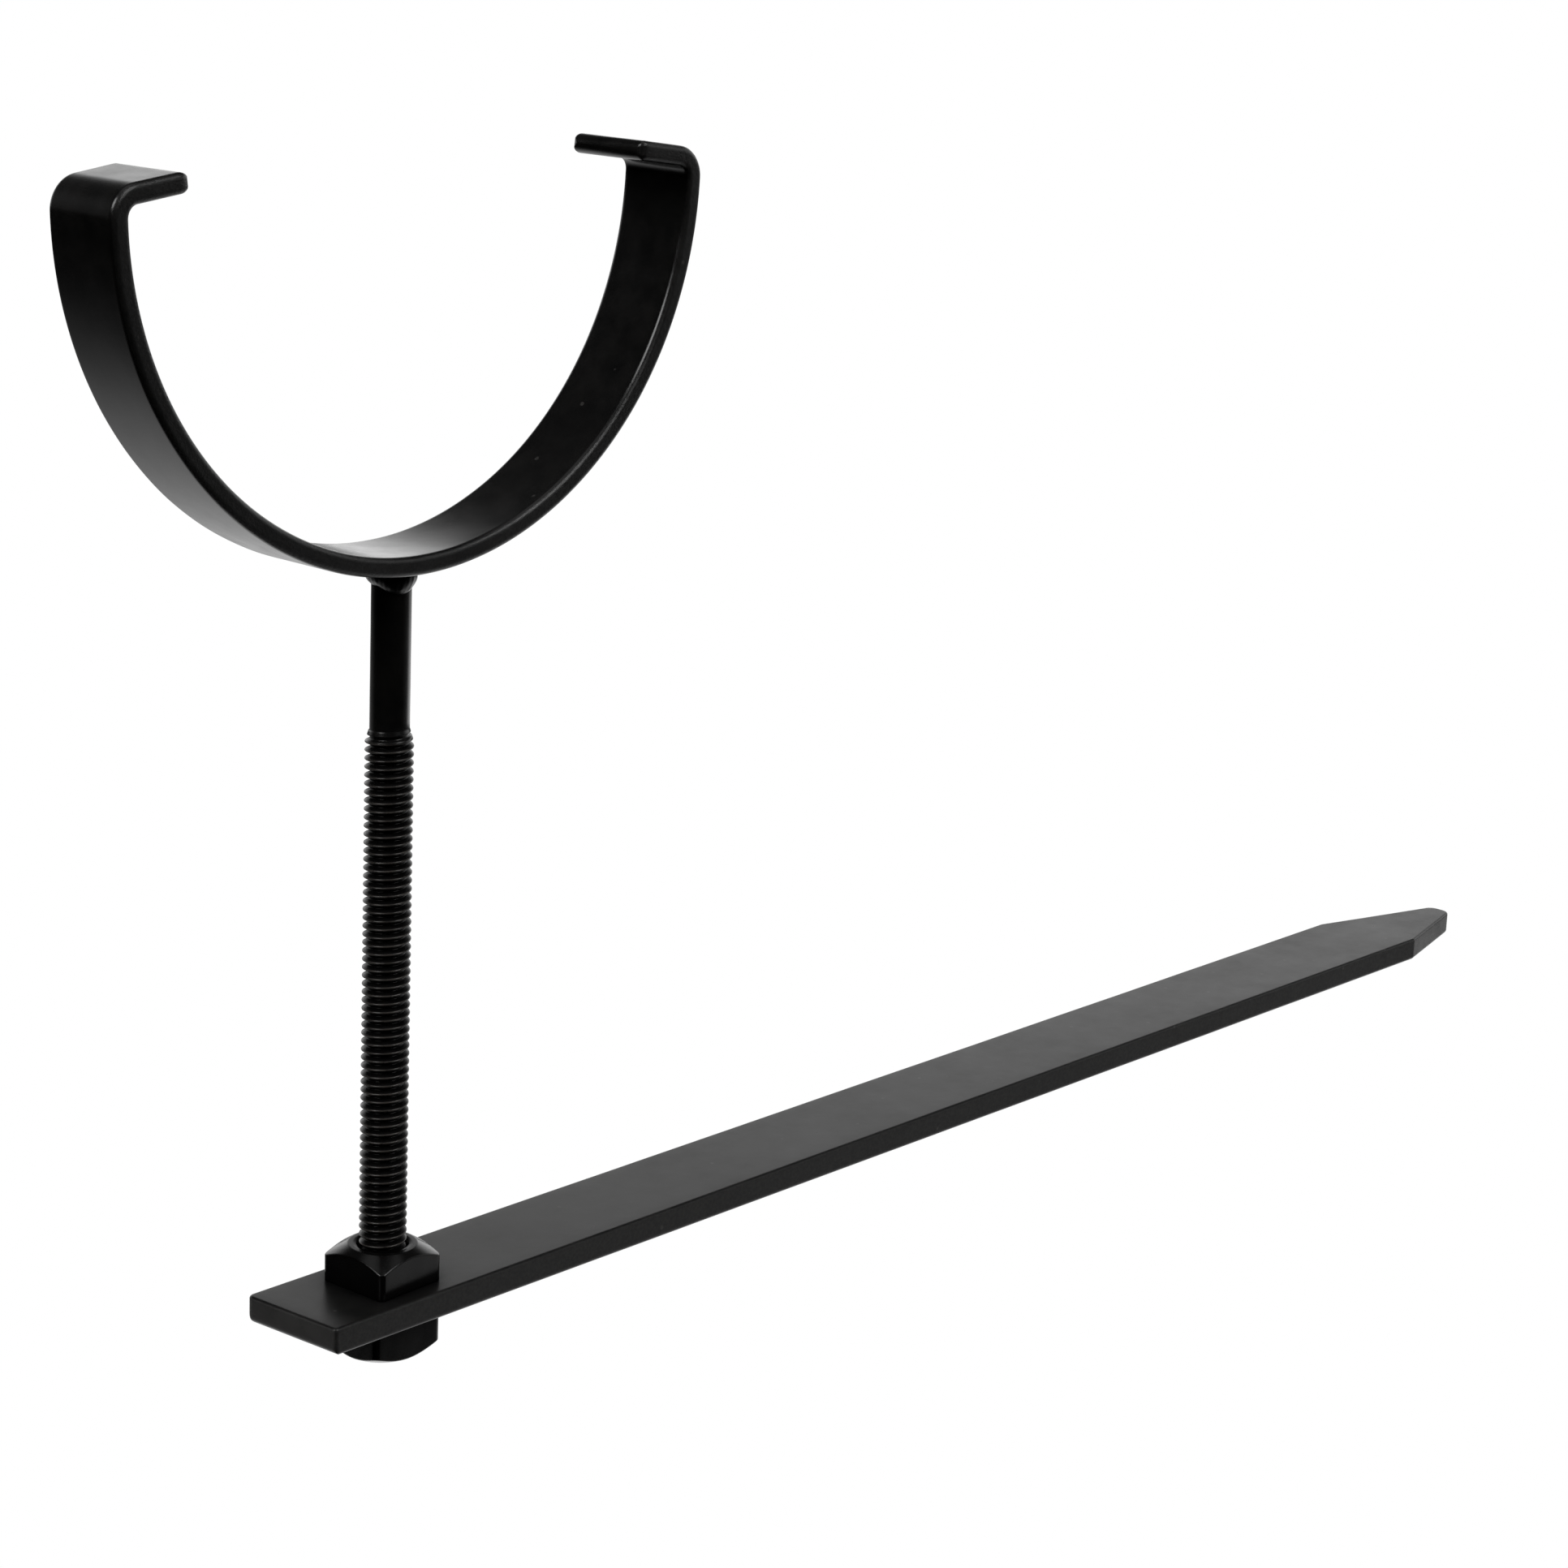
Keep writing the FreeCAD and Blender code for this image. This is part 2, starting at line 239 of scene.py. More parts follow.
class Nodes:
    """A short way to write shader nodes.  A value is a number, a colour, a vector or a socket."""

    def __init__(self, tree):
        self.tree = tree
        tree.nodes.clear()

    def add(self, kind, inputs=(), **settings):
        node = self.tree.nodes.new(kind)
        for key, value in settings.items():
            setattr(node, key, value)
        for key, value in dict(inputs).items():
            self.put(node.inputs[key], value)
        return node

    def put(self, socket, value):
        if isinstance(value, bpy.types.NodeSocket):
            self.tree.links.new(value, socket)
        else:
            socket.default_value = value

    def math(self, operation, *values, clamp=False):
        node = self.add("ShaderNodeMath", operation=operation, use_clamp=clamp)
        for i, value in enumerate(values):
            self.put(node.inputs[i], value)
        return node.outputs[0]

    def ramp(self, value, low, high, out_low=0.0, out_high=1.0):
        """Smooth step of value from low to high."""
        node = self.add("ShaderNodeMapRange", interpolation_type="SMOOTHSTEP")
        for i, v in enumerate((value, low, high, out_low, out_high)):
            self.put(node.inputs[i], v)
        return node.outputs[0]

    def sum(self, first, second):
        return self.math("ADD", first, second)

    def product(self, first, second, clamp=False):
        return self.math("MULTIPLY", first, second, clamp=clamp)

    def dot(self, first, second):
        node = self.add("ShaderNodeVectorMath", {0: first, 1: second}, operation="DOT_PRODUCT")
        return node.outputs["Value"]

    def noise(self, where, scale, detail=2.0, roughness=0.5):
        node = self.add("ShaderNodeTexNoise", {"Vector": where, "Scale": scale, "Detail": detail,
                                               "Roughness": roughness})
        return node.outputs["Fac"]

    def mix_colour(self, factor, first, second):
        node = self.add("ShaderNodeMix", data_type="RGBA")
        self.put(node.inputs[0], factor)
        self.put(node.inputs[6], first)
        self.put(node.inputs[7], second)
        return node.outputs[2]


def grey(level, warm=0.0):
    return (level * (1 + warm), level, level * (1 - warm), 1.0)


def around_zero(n, value, height):
    """A noise between 0 and 1 turned into one of the given height about 0."""
    return n.product(n.math("SUBTRACT", value, 0.5), height)


def distance_from_axis(n, where):
    spot = n.add("ShaderNodeSeparateXYZ", {0: where})
    squares = [n.math("POWER", spot.outputs[i], 2.0) for i in (0, 1)]
    return n.math("SQRT", n.sum(*squares))


def chipped(n, where, edge, chips):
    """Small chips, mostly along the edges."""
    cells = n.add("ShaderNodeTexVoronoi", {"Vector": where, "Scale": CHIP_CELLS, "Randomness": 1.0})
    lucky = n.add("ShaderNodeSeparateColor", {0: cells.outputs["Color"]}).outputs[0]
    spot = n.ramp(cells.outputs["Distance"], 0.20, 0.13)
    chip = n.product(spot, n.ramp(lucky, 1.0 - chips, 1.005 - chips))
    return n.product(chip, n.sum(edge, 0.08), clamp=True)


def away_from_axis(n, where, normal):
    """How much a face looks away from the Z axis, in metres: below zero inside a bore or a mouth."""
    level = n.add("ShaderNodeVectorMath", {0: where, 1: Vector((1.0, 1.0, 0.0))}, operation="MULTIPLY")
    return n.dot(level.outputs[0], normal)


def black_paint(name, base, roughness, peel, grain, wear, wear_radius, dust, gloss=1.0, ior=1.5,
                chips=0.045, sides=None, crests=None, lit_end_colour=0.0, shaded_mouth=False):
    """Black paint over steel: uneven colour, orange peel, fine grain, worn edges and a little dust.

    base is the colour's level, peel and grain are heights, and wear, gloss, chips and dust are
    shares.  crests is the pair of distances from the Z axis between which a thread's crest is
    rubbed.  The colour given for the struck end is painted light: a lighter grey on the faces
    towards -X.  The mouth switch paints shade: it takes the gloss off what faces the Z axis, as in a nut's
    mouth.
    """
    material = bpy.data.materials.new(name)
    material.use_nodes = True
    n = Nodes(material.node_tree)
    where = n.add("ShaderNodeTexCoord").outputs["Object"]

    broad = n.noise(where, BROAD_LUMPS, 3.0)
    middle = n.noise(where, MIDDLE_LUMPS, 4.0, 0.6)
    fine = n.noise(where, FINE_LUMPS, 3.0, 0.6)
    speck = n.noise(where, SPECK_LUMPS, 2.0, 0.7)

    colour = n.mix_colour(n.ramp(middle, 0.3, 0.7), grey(base * 0.7, -0.03), grey(base * 1.4, 0.06))
    colour = n.mix_colour(n.ramp(broad, 0.35, 0.75, 0.0, 0.5), colour, grey(base * 1.8, 0.04))
    rough = n.sum(around_zero(n, middle, 0.14), roughness)
    rough = n.sum(rough, around_zero(n, broad, 0.10))
    skin = n.sum(n.product(n.noise(where, PEEL_LUMPS, 2.0), peel), n.product(speck, grain))

    true = n.add("ShaderNodeNewGeometry").outputs["Normal"]
    facing = n.add("ShaderNodeSeparateXYZ", {0: true})
    if sides:
        side = n.ramp(n.math("ABSOLUTE", facing.outputs[sides.part]), sides.start, sides.whole)
        sheared = n.mix_colour(n.ramp(fine, 0.3, 0.7), grey(sides.base * 0.6), grey(sides.base * 1.4, 0.05))
        colour = n.mix_colour(side, colour, sheared)
        rough = n.sum(rough, n.product(side, sides.extra_rough))
        coarse = n.noise(where, SHEARED_LUMPS, 3.0, 0.7)
        skin = n.sum(skin, n.product(coarse, n.product(side, sides.grain)))
    # painted light: the faces towards -X, the struck end, get a lighter grey as if lit from the left
    if lit_end_colour:
        end = n.product(n.ramp(facing.outputs[0], -0.7, -0.95), n.ramp(middle, 0.25, 0.65, 0.6, 1.0))
        colour = n.mix_colour(end, colour, grey(lit_end_colour, 0.03))

    # worn edges: near an edge the rounded normal and the true one part
    soft = n.add("ShaderNodeBevel", {"Radius": wear_radius}, samples=SHADER_SAMPLES).outputs[0]
    edge = n.ramp(n.dot(soft, true), 0.97, 0.80)
    if crests:
        on_crest = n.ramp(distance_from_axis(n, where), *crests)
        rubbed = n.product(on_crest, n.ramp(middle, 0.30, 0.65, wear * 0.4, wear))
    else:
        patch = n.ramp(n.sum(n.product(middle, 0.6), n.product(fine, 0.4)), 0.50, 0.60)
        rubbed = n.product(n.product(edge, patch), wear, clamp=True)
    colour = n.mix_colour(rubbed, colour, grey(*RUBBED_METAL))

    chip = chipped(n, where, edge, chips)
    colour = n.mix_colour(chip, colour, grey(*CHIPPED_METAL))
    bare = n.math("MAXIMUM", rubbed, chip)
    rough = n.math("ADD", rough, n.product(bare, 0.10), clamp=True)
    skin = n.math("SUBTRACT", skin, n.product(chip, CHIP_DEPTH))

    # dust settles on what faces up
    lying = n.product(n.ramp(facing.outputs[2], 0.2, 1.0), n.ramp(speck, 0.45, 0.75))
    colour = n.mix_colour(n.product(lying, dust), colour, grey(*DUST))

    # the rounded normal also softens sharp edges, but it is too grainy for a thread
    bump = n.add("ShaderNodeBump", {"Height": skin, "Strength": 1.0, "Distance": 1.0})
    if not crests:
        n.put(bump.inputs["Normal"], soft)
    paint = n.add("ShaderNodeBsdfPrincipled", {"Base Color": colour, "Roughness": rough,
                                               "Normal": bump.outputs[0], "IOR": ior})

    # painted shade: where ambient occlusion finds corners and crevices, the gloss gives way to a dark
    # diffuse, which shades them
    shade_occlusion = n.add("ShaderNodeAmbientOcclusion", {"Distance": PAINTED_SHADE_REACH}, samples=SHADER_SAMPLES)
    unshaded_share = n.product(n.ramp(shade_occlusion.outputs["AO"], 0.30, 0.95, 0.10, 1.0), gloss)
    # painted shade in a nut's mouth: the gloss goes off what faces the Z axis
    if shaded_mouth:
        unshaded_share = n.product(unshaded_share, n.ramp(away_from_axis(n, where, true), MOUTH_SHADE_FROM, 0.0, 0.15, 1.0))
    # the dark diffuse: the paint's own dullness where gloss is below 1, and painted shade where occluded
    dull_and_shaded = n.add("ShaderNodeBsdfDiffuse", {"Color": grey(base * 0.5), "Roughness": 1.0})
    mix = n.add("ShaderNodeMixShader", {0: unshaded_share, 1: dull_and_shaded.outputs[0], 2: paint.outputs[0]})
    n.add("ShaderNodeOutputMaterial", {0: mix.outputs[0]})
    return material


strap_paint = black_paint(
    "strap_black", base=0.0030, roughness=0.22, peel=0.005 * MM, grain=0.0010 * MM,
    wear=0.9, wear_radius=0.5 * MM, dust=0.003, chips=0.03,
    sides=Sides(part=1, start=0.35, whole=0.80, base=0.005, extra_rough=0.14, grain=0.060 * MM))
weld_paint = black_paint(
    "weld_black", base=0.0030, roughness=0.30, peel=0.010 * MM, grain=0.002 * MM,
    wear=0.6, wear_radius=0.3 * MM, dust=0.003)
stud_paint = black_paint(
    "stud_black", base=0.0040, roughness=0.24, peel=0.003 * MM, grain=0.0005 * MM,
    wear=0.55, wear_radius=0.14 * MM, dust=0.003, ior=1.42, chips=0.0,
    crests=(3.75 * MM, 3.95 * MM))
# the nut's mouth gets painted shade
nut_paint = black_paint(
    "nut_black", base=0.0015, roughness=0.19, peel=0.004 * MM, grain=0.0008 * MM,
    wear=0.8, wear_radius=0.30 * MM, dust=0.002, ior=1.45, shaded_mouth=True)
# the spike's struck end gets painted light
spike_paint = black_paint(
    "spike_black", base=0.006, roughness=0.32, peel=0.006 * MM, grain=0.0015 * MM,
    wear=0.5, wear_radius=0.4 * MM, dust=0.006, gloss=0.76, lit_end_colour=0.05,
    sides=Sides(part=2, start=0.60, whole=0.20, base=0.017, extra_rough=0.20, grain=0.010 * MM))


# ---------------------------------------------------------------- strap of the cradle

def rounded_rectangle(width, height, radius, width_steps, height_steps, corner_steps):
    """Points round a rectangle in the plane, with the same count whatever its size."""
    radius = max(radius, 0.0)
    points = []
    # each corner's signs and first angle, then the way that leads on from it to the next corner
    walk = [(1, 1, 0.0, -1, 0), (-1, 1, 90.0, 0, -1), (-1, -1, 180.0, 1, 0), (1, -1, 270.0, 0, 1)]
    for sx, sy, first, way_x, way_y in walk:
        centre = (sx * (width / 2 - radius), sy * (height / 2 - radius))
        for i in range(corner_steps + 1):
            angle = math.radians(first + 90.0 * i / corner_steps)
            points.append((centre[0] + radius * math.cos(angle), centre[1] + radius * math.sin(angle)))
        start = points[-1]
        if way_x:
            steps, span = width_steps, width - 2 * radius
        else:
            steps, span = height_steps, height - 2 * radius
        for i in range(1, steps):
            move = span * i / steps
            points.append((start[0] + way_x * move, start[1] + way_y * move))
    return points


def strap_path(outer_radius):
    """Stations along the middle of the strap's +X half, from its bottom to the start of its lip.

    Each is a place and the outward normal there.
    """
    seat = outer_radius - STRAP_THICKNESS
    middle = seat + STRAP_THICKNESS / 2
    bend = LIP_BEND_RADIUS + STRAP_THICKNESS / 2
    round_steps, bend_steps = 91, 14

    def station(centre, radius, degrees):
        a = math.radians(degrees)
        out = Vector((math.cos(a), 0, math.sin(a)))
        return centre + out * radius, out

    bend_centre, _ = station(Vector((0, 0, 0)), seat - LIP_BEND_RADIUS, -LIP_BEND_DROP)
    half = []
    for i in range(round_steps + 1):
        degrees = -90.0 + (90.0 - LIP_BEND_DROP) * i / round_steps
        half.append(station(Vector((0, 0, 0)), middle, degrees))
    for i in range(1, bend_steps + 1):
        degrees = -LIP_BEND_DROP + (90.0 - LIP_RISE + LIP_BEND_DROP) * i / bend_steps
        half.append(station(bend_centre, bend, degrees))
    return half


def lip_stations(start, out, end_x):
    """Stations along a straight lip: a place and how far the end's rounding has drawn in there."""
    along = Vector((-out.z, 0, out.x)) if out.x > 0 else Vector((out.z, 0, -out.x))
    length = abs(start.x - end_x) / abs(along.x)
    plain = length - STRAP_END_RADIUS
    plain_steps, end_steps = 9, 8
    stations = []
    for i in range(1, plain_steps + 1):
        stations.append((start + along * plain * i / plain_steps, 0.0))
    for i in range(1, end_steps + 1):
        a = math.radians(90.0 * i / end_steps)
        stations.append((start + along * (plain + STRAP_END_RADIUS * math.sin(a)),
                         STRAP_END_RADIUS * (1 - math.cos(a))))
    return stations


def build_strap():
    low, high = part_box("cradle_strap")
    width = high.y - low.y
    half = strap_path(high.x)
    other_half = [(Vector((-spot.x, 0, spot.z)), Vector((-normal.x, 0, normal.z))) for spot, normal in half]
    place, out = half[-1]
    right_lip = lip_stations(place, out, RIGHT_LIP_END_X)
    left_place, left_out = other_half[-1]
    left_lip = lip_stations(left_place, left_out, LEFT_LIP_END_X)

    stations = []  # place, outward normal, inset, how much of the end's skew applies
    for i, (spot, inset) in reversed(list(enumerate(left_lip))):
        stations.append((spot, left_out, inset, (i + 1) / len(left_lip)))
    for spot, normal in reversed(other_half[1:]):
        stations.append((spot, normal, 0.0, 0.0))
    for spot, normal in half:
        stations.append((spot, normal, 0.0, 0.0))
    for i, (spot, inset) in enumerate(right_lip):
        stations.append((spot, out, inset, (i + 1) / len(right_lip)))

    verts = []
    for spot, normal, inset, skewed in stations:
        section = rounded_rectangle(STRAP_THICKNESS - 2 * inset, width - 2 * inset,
                                    STRAP_EDGE_RADIUS - inset, 14, 4, 6)
        for across, wide in section:
            point = spot + normal * across + Vector((0, wide, 0))
            point.x -= skewed * LIP_END_SKEW * wide / width
            on_rolled_face = abs(across) > abs(wide) * STRAP_THICKNESS / width
            wander = smooth_noise(point, STRAP_WAVE, 3.1) + 0.4 * smooth_noise(point, STRAP_RIPPLE, 8.2)
            point += normal * wander * STRAP_UNEVEN * (1.0 if on_rolled_face else STRAP_UNEVEN_SIDES)
            verts.append(point)
    count = len(verts) // len(stations)
    faces = ring_faces(len(stations), count)
    faces.append(tuple(range(count)))
    faces.append(tuple(range(len(verts) - count, len(verts))))
    return piece("strap_body", verts, faces, "hanger", "cradle_strap", strap_paint)


# ---------------------------------------------------------------- thread

def thread_offsets():
    """Heights within one pitch, from the middle of the groove, and the thread's depth below the crest."""
    steep = math.radians(90.0 - THREAD_FLANK)
    turns = [steep * i / 3 for i in range(4)]
    arc = [(THREAD_ROUNDING * math.sin(a), THREAD_ROUNDING * (1 - math.cos(a))) for a in turns]
    half = [(t, THREAD_DEPTH - r) for t, r in arc]
    crest = [(THREAD_PITCH / 2 - t, r) for t, r in reversed(arc)]
    first, last = half[-1], crest[0]
    for i in range(1, 3):
        half.append((first[0] + (last[0] - first[0]) * i / 3, first[1] + (last[1] - first[1]) * i / 3))
    half += crest
    mirrored = [(-t, d) for t, d in half[1:-1]]
    return sorted(mirrored + half)


def thread_depth(height, offsets):
    """Depth below the crest at a height measured from the middle of a groove."""
    t = height - THREAD_PITCH * round(height / THREAD_PITCH)
    points = [(offsets[-1][0] - THREAD_PITCH, offsets[-1][1])] + offsets
    for (t0, d0), (t1, d1) in zip(points, points[1:]):
        if t0 <= t <= t1:
            return d0 + (d1 - d0) * (t - t0) / (t1 - t0)
    return offsets[-1][1]


def helical_grid(angles, start, bottom, top, radius_at):
    """Rows that follow a right-handed helix, clamped between two heights.

    start is the height of a groove's middle at angle zero.  The grid's seam joins each row to the
    row one pitch above it.
    """
    offsets = thread_offsets()
    per_turn = len(offsets)
    turns = range(int((bottom - start) / THREAD_PITCH) - 2, int((top - start) / THREAD_PITCH) + 2)
    heights = [start + THREAD_PITCH * k + t for k in turns for t, _ in offsets]
    columns = len(angles)
    verts = []
    for height in heights:
        for angle in angles:
            lift = THREAD_PITCH * angle / (2 * math.pi)
            z = min(max(height + lift, bottom), top)
            depth = thread_depth(z - lift - start, offsets)
            radius = radius_at(z, depth)
            verts.append(Vector((radius * math.cos(angle), radius * math.sin(angle), z)))
    faces = []
    for i in range(len(heights) - 1):
        for j in range(columns - 1):
            a = i * columns + j
            faces.append((a, a + 1, a + columns + 1, a + columns))
    for i in range(len(heights) - 1 - per_turn):
        a = i * columns + columns - 1
        b = (i + per_turn) * columns
        faces.append((a, b, b + columns, a + columns))
    return verts, [f for f in faces if flat_enough(f, verts)]


def flat_enough(face, verts):
    """Whether a face still has an area after the clamping."""
    spots = {tuple(round(c, 8) for c in verts[i]) for i in face}
    return len(spots) > 2


def close_end(verts, faces, ring):
    """A flat end inside a ring of points."""
    base = len(verts)
    shares = (1.0, 0.8, 0.5, 0.2)
    for share in shares:
        verts += [Vector((v.x * share, v.y * share, v.z)) for v in ring]
    faces += [tuple(base + i for i in f) for f in ring_faces(len(shares), len(ring))]
    faces.append(tuple(base + (len(shares) - 1) * len(ring) + j for j in range(len(ring))))


def build_stud():
    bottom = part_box("stud")[0].z
    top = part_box("cradle_strap")[0].z + STRAP_THICKNESS / 2  # hidden inside the strap
    thread_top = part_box("spike")[1].z + THREAD_TOP_HEIGHT
    run_out = thread_top - RUN_OUT_LENGTH
    swell_start = run_out - RUN_OUT_LEAD
    swell_length = RUN_OUT_LENGTH + RUN_OUT_LEAD - THREAD_PITCH / 2
    root = THREAD_RADIUS - THREAD_DEPTH

    def radius_at(z, depth):
        envelope = THREAD_RADIUS
        if z < bottom + STUD_END_CHAMFER:
            envelope = THREAD_RADIUS - STUD_END_CHAMFER + (z - bottom)
        if z > run_out:
            share = min((z - run_out) / RUN_OUT_LENGTH, 1.0)
            envelope = THREAD_RADIUS + (SHANK_RADIUS - THREAD_RADIUS) * share
        core = root
        if z > swell_start:
            share = min((z - swell_start) / swell_length, 1.0)
            core = root + (SHANK_RADIUS - root) * share
        return max(core, min(THREAD_RADIUS - depth, envelope))

    angles = [2 * math.pi * j / STUD_COLUMNS for j in range(STUD_COLUMNS)]
    start = bottom - 2 * THREAD_PITCH
    verts, faces = helical_grid(angles, start, bottom, thread_top, radius_at)

    # plain shank above the thread
    base = len(verts)
    shank_steps = 24
    for i in range(shank_steps + 1):
        z = thread_top + (top - thread_top) * i / shank_steps
        for angle in angles:
            spot = Vector((4 * MM * math.cos(angle), 4 * MM * math.sin(angle), z))
            uneven = SHANK_UNEVEN * min((z - thread_top) / SHANK_EVEN_LENGTH, 1.0)
            radius = SHANK_RADIUS + smooth_noise(spot, 5 * MM, 5.5) * uneven
            verts.append(Vector((radius * math.cos(angle), radius * math.sin(angle), z)))
    faces += [tuple(base + i for i in f) for f in ring_faces(shank_steps + 1, STUD_COLUMNS)]

    close_end(verts, faces, verts[-STUD_COLUMNS:])
    offsets = thread_offsets()
    foot = []
    for angle in angles:
        lift = THREAD_PITCH * angle / (2 * math.pi)
        radius = radius_at(bottom, thread_depth(bottom - lift - start, offsets))
        foot.append(Vector((radius * math.cos(angle), radius * math.sin(angle), bottom)))
    close_end(verts, faces, foot)
    return piece("stud_rod", verts, faces, "hanger", "stud", stud_paint)


# ---------------------------------------------------------------- nuts

def square_columns(side, corner):
    """Angles round the axis and the rounded square's distance at each, corners sampled finely."""
    half = side / 2
    side_steps, corner_steps = 16, 9
    columns = []
    for quarter in range(4):
        for i in range(side_steps):
            y = -half + corner + (side - 2 * corner) * i / side_steps
            columns.append((quarter, half, y))
        for i in range(corner_steps):
            a = math.radians(90.0 * i / corner_steps)
            x = half - corner + corner * math.cos(a)
            y = half - corner + corner * math.sin(a)
            columns.append((quarter, x, y))
    result = []
    for quarter, x, y in columns:
        turned = math.atan2(y, x) + quarter * math.pi / 2
        result.append((turned % (2 * math.pi), math.hypot(x, y)))
    return sorted(result)


def eased(points, radii, steps):
    """A polyline with its inner corners rounded, always with the same number of points."""
    result = [points[0]]
    for i in range(1, len(points) - 1):
        before, here, after = (Vector(points[i + k]) for k in (-1, 0, 1))
        to_before, to_after = (before - here), (after - here)
        turn = math.pi - to_before.angle(to_after)
        cut = min(radii[i - 1] * math.tan(turn / 2), to_before.length * 0.45, to_after.length * 0.45)
        first, last = here + to_before.normalized() * cut, here + to_after.normalized() * cut
        for k in range(steps + 1):
            s = k / steps
            curve = first * (1 - s) ** 2 + here * 2 * s * (1 - s) + last * s ** 2
            result.append((curve.x, curve.y))
    result.append(points[-1])
    return result


def nut_profile(reach, height, crown_radius):
    """(radius, height) points over a nut's outside, from one mouth to the other, in one column."""
    drop = (reach - crown_radius) * math.tan(math.radians(CROWN_SLOPE))
    corners = [(MOUTH_RADIUS, height), (crown_radius, height), (reach, height - drop), (reach, 0.0),
               (MOUTH_RADIUS, 0.0)]
    points = eased(corners, NUT_ROUNDINGS, 5)
    profile = []
    for (r0, z0), (r1, z1) in zip(points, points[1:]):
        profile.append((r0, z0))
        profile.append(((r0 + r1) / 2, (z0 + z1) / 2))
    profile.append(points[-1])
    return profile


def build_nut(name, node, crown_radius, facing, turn):
    """A square nut with its crown up (facing +1) or down (facing -1), threaded in step with the stud."""
    low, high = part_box(node)
    height = high.z - low.z
    square = square_columns(NUT_SIDE, NUT_CORNER_RADIUS)
    columns = sorted(((a + math.radians(turn)) % (2 * math.pi), r) for a, r in square)
    profiles = [nut_profile(reach, height, crown_radius) for _, reach in columns]
    rings = len(profiles[0])
    verts = []
    for k in range(rings):
        for (angle, _), profile in zip(columns, profiles):
            r, z = profile[k]
            point = Vector((r * math.cos(angle), r * math.sin(angle), z))
            dent = smooth_noise(point, 5 * MM, 11.0 + facing) * NUT_UNEVEN
            if NUT_EVEN_RIM < z < height - NUT_EVEN_RIM:
                point.x += dent * math.cos(angle)
                point.y += dent * math.sin(angle)
            verts.append(point)
    faces = ring_faces(rings, len(columns))
    for v in verts:
        v.z = low.z + v.z if facing > 0 else high.z - v.z

    def bore(z, depth):
        mouth = MOUTH_RADIUS - min(z - low.z, high.z - z)
        return max(THREAD_RADIUS + THREAD_LOOSENESS - depth, mouth)

    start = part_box("stud")[0].z - 2 * THREAD_PITCH
    inner, inner_faces = helical_grid([a for a, _ in columns], start, low.z, high.z, bore)
    base = len(verts)
    verts += inner
    faces += [tuple(base + i for i in f) for f in inner_faces]
    return piece(name, verts, faces, node, node, nut_paint)


# ---------------------------------------------------------------- spike

def plan_outline(corners, insets):
    """The spike's plan with each side moved in by its own inset, and with rounded corners.

    Whatever the insets, the points are the same in number and order.
    """
    count = len(corners)
    lines = []
    for i in range(count):
        a, b = Vector(corners[i][:2]), Vector(corners[(i + 1) % count][:2])
        along = (b - a).normalized()
        inward = Vector((-along.y, along.x))
        lines.append((a + inward * insets[i], along))
    arcs = []
    for i in range(count):
        p, u = lines[i - 1]
        q, v = lines[i]
        across = q - p
        sharp = p + u * (across.x * v.y - across.y * v.x) / (u.x * v.y - u.y * v.x)
        inward = Vector((-u.y, u.x))
        turn = u.angle(v)
        radius = max(corners[i][2] - (insets[i - 1] + insets[i]) / 2, SMALLEST_RADIUS)
        centre = sharp - u * radius * math.tan(turn / 2) + inward * radius
        first = math.atan2(-inward.y, -inward.x)
        angles = [first + turn * k / 6 for k in range(7)]
        arcs.append([centre + Vector((math.cos(a), math.sin(a))) * radius for a in angles])
    points = []
    for i in range(count):
        points += arcs[i]
        a, b = arcs[i][-1], arcs[(i + 1) % count][0]
        side = Vector(corners[(i + 1) % count][:2]) - Vector(corners[i][:2])
        steps = max(2, round(side.length / FACE_STEP))
        points += [a + (b - a) * k / steps for k in range(1, steps)]
    return points


def is_sliver(corners):
    """Whether a triangle is so thin that its corners lie on one straight side of the outline."""
    sides = [corners[i] - corners[i - 1] for i in range(3)]
    twice_area = abs(sides[1].x * sides[2].y - sides[1].y * sides[2].x)
    return twice_area < SLIVER * max(side.length for side in sides)


def edge_inset(radius, away):
    """How far a rounded edge has drawn in, at a distance away from the face it runs into."""
    if away >= radius:
        return 0.0
    return radius - math.sqrt(radius ** 2 - (radius - away) ** 2)


def spike_levels(low, high, side_count):
    """Heights up the spike's sides, and how far each side has drawn in there."""
    lower_radii = [LOWER_EDGE_RADIUS] * (side_count - 1) + [STRUCK_LOWER_RADIUS]
    rises = set()
    for radius in set(lower_radii):
        rises.update(round(radius * (1 - math.cos(math.radians(15.0 * i))), 7) for i in range(7))
    levels = [(low.z + rise, [edge_inset(radius, rise) for radius in lower_radii]) for rise in sorted(rises)]
    top_of_lower, foot_of_upper = low.z + STRUCK_LOWER_RADIUS, high.z - UPPER_EDGE_RADIUS
    for i in range(1, 4):
        levels.append((top_of_lower + (foot_of_upper - top_of_lower) * i / 4, [0.0] * side_count))
    for i in range(6):
        a = math.radians(90.0 * i / 5)
        levels.append((foot_of_upper + UPPER_EDGE_RADIUS * math.sin(a),
                       [UPPER_EDGE_RADIUS * (1 - math.cos(a))] * side_count))
    return levels


def face_points(low, high):
    """Staggered rows of points on the spike's faces, clear of its outline and of the hole."""
    side_margin, hole_margin, taper_margin = FACE_MARGINS
    points = []
    x = low.x + FACE_STEP
    row = 0
    while x < high.x:
        stagger = FACE_STAGGER if row % 2 else -FACE_STAGGER
        for k in range(-3, 4):
            y = k * FACE_ROW + stagger
            clear_of_hole = math.hypot(x, y) > STUD_HOLE_RADIUS + hole_margin
            if abs(y) < high.y - side_margin and clear_of_hole and x < BACK_SHOULDER_X - taper_margin:
                points.append(Vector((x, y)))
        x += FACE_STEP
        row += 1
    return points


